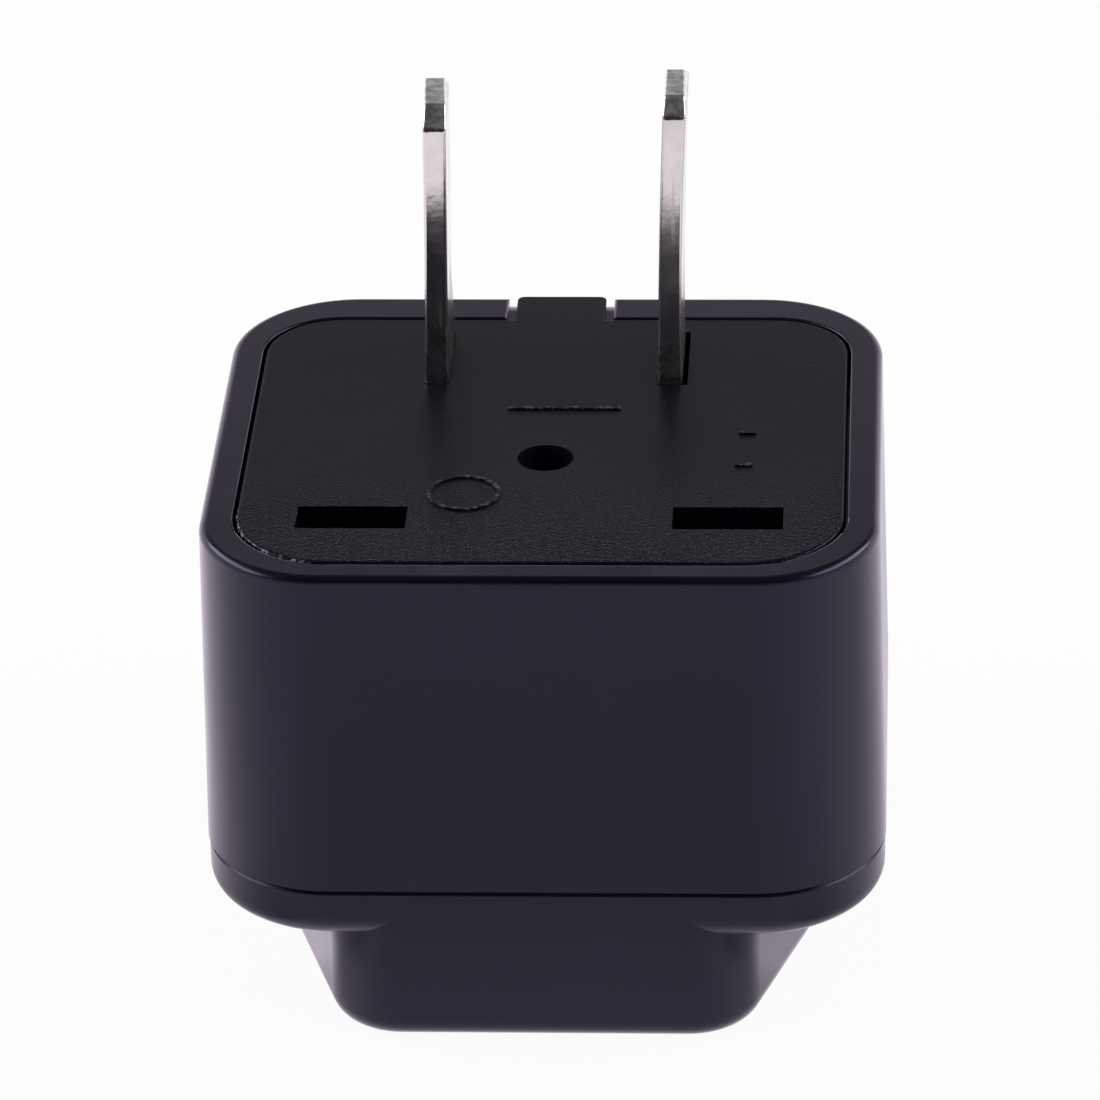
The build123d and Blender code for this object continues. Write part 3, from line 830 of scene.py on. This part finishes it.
@dataclass
class PlugFace:
    """The grained plate, with plain raised moulding marks."""

    top: float = PLATE_TOP
    sunk: float = 0.03 * MM
    raised: float = 0.10 * MM
    edge: float = 0.03 * MM
    edge_steps: int = 2
    crest_near: float = 0.006 * MM
    corner_share: float = 0.42
    corner_steps: int = 4
    ring_at: tuple[float, float] = (-4.11 * MM, -6.98 * MM)
    ring_outer: float = 1.95 * MM
    ring_inner: float = 1.72 * MM
    ring_steps: int = 72
    rule_at: tuple[float, float] = (0.75 * MM, 2.95 * MM)
    rule_size: tuple[float, float] = (6.1 * MM, 0.26 * MM)
    dash_size: tuple[float, float] = (0.95 * MM, 0.28 * MM)
    dash_at: tuple[tuple[float, float], ...] = ((10.7 * MM, 0.05 * MM), (10.55 * MM, -3.65 * MM))

    def build(self, effects: Effects) -> None:
        """Dress the plate and add its marks.

        Args:
            effects: Shared effects.
        """
        material = FACE.make(effects)
        dress("face_plate", material)
        settle(self.make_ring(), "plate_ring_mark", material)
        settle(self.make_bar(self.rule_at, self.rule_size), "plate_rule_mark", material)
        for number, place in enumerate(self.dash_at, 1):
            settle(self.make_bar(place, self.dash_size), f"plate_dash_mark_{number}", material)

    def make_ring(self) -> bpy.types.Object:
        """Model the plain ring: a circle, widened inwards, raised and softened.

        Returns:
            The ring.
        """
        deselect_all()
        centre = (*self.ring_at, self.top - self.sunk)
        bpy.ops.mesh.primitive_circle_add(vertices=self.ring_steps, radius=self.ring_outer, location=centre)
        piece = bpy.context.object
        bpy.ops.object.transform_apply(location=True, rotation=True, scale=True)
        bpy.ops.object.mode_set(mode="EDIT")
        bpy.ops.mesh.select_all(action="SELECT")
        bpy.ops.mesh.extrude_edges_move()
        share = self.ring_inner / self.ring_outer
        bpy.ops.transform.resize(value=(share, share, 1.0), center_override=centre)
        self.raise_and_soften(piece)
        return piece

    def make_bar(self, place: tuple[float, float], size: tuple[float, float]) -> bpy.types.Object:
        """Model a straight bar: a flat plane, raised and softened.

        Args:
            place: Middle of the bar.
            size: Length and width.

        Returns:
            The bar.
        """
        deselect_all()
        bpy.ops.mesh.primitive_plane_add(size=1.0, location=(*place, self.top - self.sunk))
        piece = bpy.context.object
        piece.scale = (*size, 1.0)
        bpy.ops.object.transform_apply(location=True, rotation=True, scale=True)
        bpy.ops.object.mode_set(mode="EDIT")
        bpy.ops.mesh.select_all(action="SELECT")
        corner = size[1] * self.corner_share
        bpy.ops.mesh.bevel(offset=corner, segments=self.corner_steps, affect="VERTICES")
        self.raise_and_soften(piece)
        return piece

    def raise_and_soften(self, piece: bpy.types.Object) -> None:
        """Raise a flat outline in edit mode and soften its upper edges.

        Args:
            piece: Flat mesh in edit mode.
        """
        bpy.ops.mesh.select_all(action="SELECT")
        lift = self.sunk + self.raised
        bpy.ops.mesh.extrude_region_move(TRANSFORM_OT_translate={"value": (0.0, 0.0, lift)})
        bpy.ops.mesh.select_all(action="SELECT")
        bpy.ops.mesh.normals_make_consistent(inside=False)
        bpy.ops.mesh.select_all(action="DESELECT")
        bpy.ops.object.mode_set(mode="OBJECT")
        crest = self.top + self.raised
        mesh = piece.data
        for edge in mesh.edges:
            ends = [mesh.vertices[i].co.z for i in edge.vertices]
            edge.select = all(abs(z - crest) < self.crest_near for z in ends)
        bpy.ops.object.mode_set(mode="EDIT")
        bpy.ops.mesh.select_mode(type="EDGE")
        bpy.ops.mesh.region_to_loop()
        bpy.ops.mesh.bevel(offset=self.edge, segments=self.edge_steps, affect="EDGES")
        bpy.ops.object.mode_set(mode="OBJECT")


@dataclass
class Blade:
    """A plated blade: upright in the plate, leaning above it, with a coined tip and a foot."""

    node: str
    side: int
    length: float
    lean: tuple[float, float]
    back: float
    twist: float
    tip_left: tuple[float, float]
    tip_right: tuple[float, float]
    spacing: float = 12.7 * MM
    thickness: float = 1.25 * MM
    width: float = 6.35 * MM
    front: float = LEFT_FOOT.y
    plate_top: float = PLATE_TOP
    plate_low: float = PLATE_TOP - 2.0 * MM
    foot_low: float = LEFT_FOOT.z
    foot_reach: float = -LEFT_FOOT.x
    tip_height: float = 0.75 * MM
    tip_run: float = 1.45 * MM
    rings: int = 14
    edge_round: float = 0.2 * MM
    edge_steps: int = 4
    smooth_angle: float = math.radians(35.0)
    tip_weight: float = 0.45
    twist_run: float = 4.0 * MM
    base_spread: tuple[float, ...] = (0.040 * MM, 0.030 * MM, 0.015 * MM)
    rivet_x: tuple[float, float] = (9.0 * MM, 11.7 * MM)
    rivet_y: float = 10.33 * MM
    hole_radius: float = 0.85 * MM
    hole_steps: int = 40
    sink_radius: float = 1.3 * MM
    sink_depth: float = 0.55 * MM
    hole_spare: float = 0.1 * MM
    near: float = 0.004 * MM
    side_near: float = 0.05 * MM

    def build(self, material: bpy.types.Material) -> None:
        """Model the blade, finish it and put it in its node's place.

        Args:
            material: Finish.
        """
        piece = self.make_bar()
        self.add_foot(piece)
        self.spread_base(piece)
        self.lean_over(piece)
        self.coin_tip(piece)
        self.drill(piece)
        self.round_edges(piece)
        settle(piece, f"plated_{self.node}", material)
        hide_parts(self.node)

    def drift(self, height: float) -> float:
        """Give the sideways drift at a height above the plate.

        Args:
            height: Height above the plate.

        Returns:
            The drift to the right.
        """
        root, tip = (math.tan(angle) for angle in self.lean)
        return root * height + (tip - root) * height**2 / (2 * self.length)

    def shoulder(self) -> float:
        """Give the height at which the coined tip starts."""
        return self.plate_top + self.length - self.tip_height

    def make_bar(self) -> bpy.types.Object:
        """Model the straight bar, cut into rings.

        Returns:
            The bar, in edit mode.
        """
        deselect_all()
        middle_y = self.front + self.width / 2
        middle_z = (self.foot_low + self.shoulder()) / 2
        middle = (self.side * self.spacing / 2, middle_y, middle_z)
        bpy.ops.mesh.primitive_cube_add(size=1.0, location=middle)
        piece = bpy.context.object
        piece.scale = (self.thickness, self.width, self.shoulder() - self.foot_low)
        bpy.ops.object.transform_apply(location=True, rotation=True, scale=True)
        bpy.ops.object.mode_set(mode="EDIT")
        step = (self.shoulder() - self.plate_top) / self.rings
        levels = [self.plate_low] + [self.plate_top + step * number for number in range(self.rings)]
        for level in levels:
            bpy.ops.mesh.select_all(action="SELECT")
            bpy.ops.mesh.bisect(plane_co=(0.0, 0.0, level), plane_no=(0.0, 0.0, 1.0))
        return piece

    def add_foot(self, piece: bpy.types.Object) -> None:
        """Draw the foot out of the bar's lowest ring, away from the middle.

        Args:
            piece: The bar.
        """
        outer = self.side * (self.spacing + self.thickness) / 2
        highest = self.plate_low + self.near
        pick(
            piece,
            Pick.FACE,
            lambda corners: all(abs(c.x - outer) < self.near and c.z < highest for c in corners),
        )
        reach = self.side * self.foot_reach - outer
        bpy.ops.mesh.extrude_region_move(TRANSFORM_OT_translate={"value": (reach, 0.0, 0.0)})

    def spread_base(self, piece: bpy.types.Object) -> None:
        """Thicken the lowest rings, so that the blade all but fills its slot in the plate.

        Args:
            piece: The bar.
        """
        step = (self.shoulder() - self.plate_top) / self.rings
        for number, spread in enumerate(self.base_spread):
            level = self.plate_top + step * number
            pick(piece, Pick.VERTEX, lambda corners: abs(corners[0].z - level) < self.near)
            middle = (self.side * self.spacing / 2, self.front + self.width / 2, level)
            growth = (1.0 + 2 * spread / self.thickness, 1.0 + 2 * spread / self.width, 1.0)
            bpy.ops.transform.resize(value=growth, center_override=middle)

    def lean_over(self, piece: bpy.types.Object) -> None:
        """Move each ring above the plate sideways, so that the blade leans and bends.

        Args:
            piece: The bar.
        """
        step = (self.shoulder() - self.plate_top) / self.rings
        for number in range(1, self.rings + 1):
            level = self.plate_top + step * number
            pick(piece, Pick.VERTEX, lambda corners: abs(corners[0].z - level) < self.near)
            height = step * number
            move = Vector((self.drift(height), math.tan(self.back) * height, 0.0))
            bpy.ops.transform.translate(value=move)
            if self.twist:
                turn = self.twist * min(1.0, height / self.twist_run)
                pivot = Vector((self.side * self.spacing / 2, self.front, level)) + move
                bpy.ops.transform.rotate(value=-turn, orient_axis="Z", center_override=pivot)

    def coin_tip(self, piece: bpy.types.Object) -> None:
        """Draw the tip out of the shoulder, sloped in front and behind and pressed thinner.

        Args:
            piece: The leaning bar.
        """
        shoulder = self.shoulder()
        pick(piece, Pick.FACE, lambda corners: all(abs(c.z - shoulder) < self.near for c in corners))
        across = self.drift(self.length) - self.drift(self.length - self.tip_height)
        bpy.ops.mesh.extrude_region_move(TRANSFORM_OT_translate={"value": (across, 0.0, self.tip_height)})
        top = shoulder + self.tip_height
        middle_x = self.side * self.spacing / 2 + self.drift(self.length)
        middle_y = self.front + self.width / 2 + math.tan(self.back) * self.length
        for left, front in ((True, True), (True, False), (False, True), (False, False)):
            pick(
                piece,
                Pick.VERTEX,
                lambda corners: abs(corners[0].z - top) < self.near
                and (corners[0].x < middle_x) == left
                and (corners[0].y < middle_y) == front,
            )
            inset = (self.tip_left if left else self.tip_right)[0 if front else 1]
            move_x = inset if left else -inset
            move_y = self.tip_run if front else -self.tip_run
            bpy.ops.transform.translate(value=(move_x, move_y, 0.0))

    def drill(self, piece: bpy.types.Object) -> None:
        """Cut the two countersunk rivet holes through the foot.

        Args:
            piece: The blade in edit mode.
        """
        bpy.ops.object.mode_set(mode="OBJECT")
        low = self.foot_low - self.hole_spare
        high = self.plate_low + self.hole_spare
        sink_low = self.plate_low - self.sink_depth
        slope = (self.sink_radius - self.hole_radius) / self.sink_depth
        widen = 1.0 + slope * (high - sink_low) / self.hole_radius
        for x in self.rivet_x:
            deselect_all()
            centre = (self.side * x, self.rivet_y, (low + high) / 2)
            bpy.ops.mesh.primitive_cylinder_add(
                vertices=self.hole_steps, radius=self.hole_radius, depth=high - low, location=centre
            )
            cutter = bpy.context.object
            bpy.ops.object.transform_apply(location=True, rotation=True, scale=True)
            bpy.ops.object.mode_set(mode="EDIT")
            bpy.ops.mesh.select_all(action="SELECT")
            bpy.ops.mesh.bisect(plane_co=(0.0, 0.0, sink_low), plane_no=(0.0, 0.0, 1.0))
            pick(cutter, Pick.VERTEX, lambda corners: corners[0].z > high - self.near)
            bpy.ops.transform.resize(value=(widen, widen, 1.0), center_override=centre)
            bpy.ops.object.mode_set(mode="OBJECT")
            deselect_all()
            bpy.context.view_layer.objects.active = piece
            piece.select_set(True)
            bpy.ops.object.modifier_add(type="BOOLEAN")
            hole = piece.modifiers[-1]
            hole.operation = "DIFFERENCE"
            hole.solver = "EXACT"
            hole.object = cutter
            bpy.ops.object.modifier_apply(modifier=hole.name)
            bpy.data.objects.remove(cutter, do_unlink=True)

    def round_edges(self, piece: bpy.types.Object) -> None:
        """Round the long edges, and the tip's edges less.

        Args:
            piece: The drilled blade.
        """
        shoulder = self.shoulder()
        pick(piece, Pick.EDGE, lambda corners: self.is_long_edge(corners, shoulder))
        bpy.ops.transform.edge_bevelweight(value=1.0)
        pick(piece, Pick.EDGE, lambda corners: self.is_tip_edge(corners, shoulder))
        bpy.ops.transform.edge_bevelweight(value=self.tip_weight)
        bpy.ops.object.mode_set(mode="OBJECT")
        bpy.ops.object.shade_smooth_by_angle(angle=self.smooth_angle)
        bpy.ops.object.modifier_add(type="BEVEL")
        bevel = piece.modifiers[-1]
        bevel.limit_method = "WEIGHT"
        bevel.width = self.edge_round
        bevel.segments = self.edge_steps
        bevel.harden_normals = True
        bpy.ops.object.modifier_apply(modifier=bevel.name)

    def is_long_edge(self, corners: list[Vector], shoulder: float) -> bool:
        """Tell whether an edge runs up one of the bar's four corners.

        Args:
            corners: The edge's two ends.
            shoulder: Height at which the tip starts.

        Returns:
            Whether it does.
        """
        one, other = corners
        upright = abs(one.z - other.z) > self.near and abs(one.y - other.y) < self.side_near
        low, high = sorted((one.z, other.z))
        return upright and low > self.plate_low - self.near and high < shoulder + self.near

    def is_tip_edge(self, corners: list[Vector], shoulder: float) -> bool:
        """Tell whether an edge belongs to the coined tip."""
        return all(c.z > shoulder - self.near for c in corners)


@dataclass
class Blades:
    """The two plated blades."""

    pair: tuple[Blade, ...] = (
        Blade(
            node="left_blade",
            side=-1,
            length=16.1 * MM,
            tip_height=0.95 * MM,
            lean=(math.radians(1.5), math.radians(0.9)),
            back=math.radians(-0.6),
            twist=math.radians(1.8),
            tip_left=(0.03 * MM, 0.03 * MM),
            tip_right=(0.10 * MM, 0.15 * MM),
        ),
        Blade(
            node="right_blade",
            side=1,
            length=16.5 * MM,
            lean=(math.radians(0.2), math.radians(3.0)),
            back=math.radians(0.2),
            twist=0.0,
            tip_left=(0.05 * MM, 0.05 * MM),
            tip_right=(0.13 * MM, 0.25 * MM),
        ),
    )

    def build(self, effects: Effects) -> None:
        """Model both blades in worn plating.

        Args:
            effects: Shared effects.
        """
        material = PLATING.make(effects)
        for blade in self.pair:
            blade.build(material)


@dataclass
class SocketWorks:
    """What shows through the socket's apertures: contacts, rivets and screw."""

    brass_nodes: tuple[str, ...] = ("left_contact", "right_contact", "contact_rivets")
    screw_node: str = "assembly_screw"

    def build(self, effects: Effects) -> None:
        """Dress the brass pieces and the screw.

        Args:
            effects: Shared effects.
        """
        material = BRASS.make(effects)
        for node in self.brass_nodes:
            dress(node, material)
        dress(self.screw_node, STEEL.make(effects))


@dataclass(frozen=True)
class PaintedShadowPatch:
    """A patch of floor, in millimetres, with a painted shadow that only reflections show."""

    strength: float
    across: tuple[float, float, float, float]
    along: tuple[float, float, float, float]
    mirrored: bool = True

    def mask(self, sheet: NodeSheet, axes: bpy.types.NodeOutputs) -> bpy.types.NodeSocket:
        """Draw the patch.

        Args:
            sheet: Node sheet of the floor.
            axes: The floor's coordinates.

        Returns:
            Share of the glow that the painted shadow takes away.
        """
        x = sheet.math("ABSOLUTE", axes["X"]) if self.mirrored else axes["X"]
        wide = sheet.band(x, *(MM * limit for limit in self.across))
        deep = sheet.band(axes["Y"], *(MM * limit for limit in self.along))
        return sheet.math("MULTIPLY", sheet.math("MULTIPLY", wide, deep), self.strength)


@dataclass
class Studio:
    """Pale floor, soft light and the camera."""

    floor_size: float = 8.0
    floor_drop: float = 0.01 * MM
    floor_white: Colour = (0.95, 0.95, 0.95)
    floor_glow: float = 0.94
    # Painted shadows on the floor, seen only in reflections.
    painted_shadows: tuple[PaintedShadowPatch, ...] = (
        PaintedShadowPatch(strength=0.20, across=(-2.0, -1.0, 12.0, 40.0), along=(-74.0, -66.0, -32.0, -20.0)),
        PaintedShadowPatch(
            strength=0.26, across=(0.0, 30.0, 900.0, 990.0), along=(-22.0, -4.0, 45.0, 65.0), mirrored=False
        ),
        PaintedShadowPatch(strength=0.50, across=(16.5, 19.0, 20.5, 34.0), along=(-30.0, -22.0, -5.0, 12.0)),
        PaintedShadowPatch(strength=0.40, across=(11.0, 13.0, 18.5, 22.0), along=(-17.5, -14.0, -12.0, -8.5)),
    )
    sky: tuple[tuple[float, float], ...] = (
        (0.0, 1.0),
        (0.15, 1.0),
        (0.30, 0.66),
        (0.40, 0.44),
        (0.44, 0.22),
        (0.48, 0.10),
        (0.55, 0.10),
        (0.70, 0.13),
        (1.0, 0.14),
    )
    sky_front: float = 0.62
    sky_turn: tuple[float, float] = (-0.6, 0.2)
    lamp_reach: float = 0.60
    lamp_height: float = 0.45
    lamp_back: float = 0.08
    lamp_size: tuple[float, float] = (0.90, 0.28)
    lamp_power: float = 3.56
    target: Place = (-0.025 * MM, -0.47 * MM, 20.92 * MM)
    azimuth: float = math.radians(3.416)
    elevation: float = math.radians(28.0)
    roll: float = math.radians(-1.43)
    distance: float = 376.41 * MM
    focal_pixels: float = 6969.6
    image_pixels: float = 1100.0
    clip_start: float = 10.0 * MM
    sensor: float = 36.0

    def build(self) -> None:
        """Set the stage."""
        self.lay_floor()
        self.light_world()
        for side in (-1, 1):
            self.hang_lamp(side)
        self.aim_camera()
        bpy.context.scene.view_settings.view_transform = "Standard"

    def lay_floor(self) -> None:
        """Lay a pale floor that shows white, keeps the shadow, adds painted shadows in reflections and is
        clear from below.
        """
        deselect_all()
        bpy.ops.mesh.primitive_plane_add(size=self.floor_size, location=(0.0, 0.0, -self.floor_drop))
        bpy.ops.object.transform_apply(location=True, rotation=False, scale=False)
        floor = bpy.context.object
        floor.name = "studio_floor"
        material = bpy.data.materials.new("studio_floor")
        material.use_nodes = True
        sheet = NodeSheet(material.node_tree)
        path = sheet.add("ShaderNodeLightPath").outputs
        seen = sheet.math("MAXIMUM", path["Is Camera Ray"], path["Is Transmission Ray"])
        matte = sheet.add("ShaderNodeBsdfDiffuse", {"Color": self.floor_white})
        where = sheet.add("ShaderNodeTexCoord").outputs["Object"]
        axes = sheet.add("ShaderNodeSeparateXYZ", {"Vector": where}).outputs
        # Painted shadows, for glossy rays only.
        shade: Value = 0.0
        for patch in self.painted_shadows:
            shade = sheet.math("MAXIMUM", shade, patch.mask(sheet, axes))
        shade = sheet.math("MULTIPLY", shade, path["Is Glossy Ray"])
        strength = sheet.math("SUBTRACT", 1.0, shade)
        glow = sheet.add("ShaderNodeEmission", {"Color": WHITE, "Strength": strength})
        share = sheet.math("MAXIMUM", sheet.math("MULTIPLY", seen, self.floor_glow), path["Is Glossy Ray"])
        upper = sheet.mix_shaders(share, matte.outputs["BSDF"], glow.outputs["Emission"])
        clear = sheet.add("ShaderNodeBsdfTransparent").outputs["BSDF"]
        below = sheet.add("ShaderNodeNewGeometry").outputs["Backfacing"]
        sheet.add("ShaderNodeOutputMaterial", {"Surface": sheet.mix_shaders(below, upper, clear)})
        floor.data.materials.append(material)
        LOG.info("floor laid")

    def light_world(self) -> None:
        """Light the surroundings: white at the horizon, dim overhead and white to the camera."""
        world = bpy.data.worlds.new("studio_world")
        world.use_nodes = True
        sheet = NodeSheet(world.node_tree)
        heading = sheet.add("ShaderNodeTexCoord").outputs["Generated"]
        axes = sheet.add("ShaderNodeSeparateXYZ", {"Vector": heading}).outputs
        ramp = sheet.add("ShaderNodeValToRGB", {"Fac": axes["Z"]})
        stops = ramp.color_ramp.elements
        for place, _ in self.sky[1:-1]:
            stops.new(place)
        for stop, (place, level) in zip(stops, self.sky):
            stop.position = place
            stop.color = (level, level, level, 1.0)
        level = sheet.fit(axes["Y"], *self.sky_turn, self.sky_front, 1.0)
        light = sheet.add("ShaderNodeBackground", {"Color": ramp.outputs["Color"], "Strength": level})
        white = sheet.add("ShaderNodeBackground", {"Color": WHITE})
        seen = sheet.add("ShaderNodeLightPath").outputs["Is Camera Ray"]
        shown = sheet.mix_shaders(seen, light.outputs["Background"], white.outputs["Background"])
        sheet.add("ShaderNodeOutputWorld", {"Surface": shown})
        bpy.context.scene.world = world

    def hang_lamp(self, side: int) -> None:
        """Hang a soft box at one side.

        Args:
            side: -1 for the left, 1 for the right.
        """
        data = bpy.data.lights.new(f"soft_box_{'left' if side < 0 else 'right'}", "AREA")
        data.shape = "RECTANGLE"
        data.size, data.size_y = self.lamp_size
        data.energy = self.lamp_power
        lamp = bpy.data.objects.new(data.name, data)
        place = Vector((side * self.lamp_reach, self.lamp_back, self.lamp_height))
        aim = place - Vector(self.target)
        lamp.matrix_world = Matrix.Translation(place) @ aim.to_track_quat("Z", "Y").to_matrix().to_4x4()
        lamp.visible_camera = False
        bpy.context.scene.collection.objects.link(lamp)

    def aim_camera(self) -> None:
        """Put the camera where the photograph was taken from."""
        data = bpy.data.cameras.new("photo_camera")
        data.sensor_fit = "HORIZONTAL"
        data.sensor_width = self.sensor
        data.lens = self.sensor * self.focal_pixels / self.image_pixels
        data.clip_start = self.clip_start
        turn, tip, roll = self.azimuth, self.elevation, self.roll
        back = Vector((math.sin(turn) * math.cos(tip), -math.cos(turn) * math.cos(tip), math.sin(tip)))
        level = Vector((math.cos(turn), math.sin(turn), 0.0))
        upright = back.cross(level)
        right = math.cos(roll) * level + math.sin(roll) * upright
        up = math.cos(roll) * upright - math.sin(roll) * level
        axes = Matrix((right, up, back)).transposed().to_4x4()
        camera = bpy.data.objects.new("photo_camera", data)
        camera.matrix_world = Matrix.Translation(Vector(self.target) + self.distance * back) @ axes
        bpy.context.scene.collection.objects.link(camera)
        bpy.context.scene.camera = camera


def main() -> None:
    """Build the sub-assemblies in order."""
    logging.basicConfig(level=logging.INFO, format="%(name)s: %(message)s")
    effects = Effects(MouldGrain(), FineScratches(), DustSpecksAndGlints())
    for part in (Shell(), PlugFace(), Blades(), SocketWorks()):
        part.build(effects)
    Studio().build()


if __name__ == "__main__":
    main()
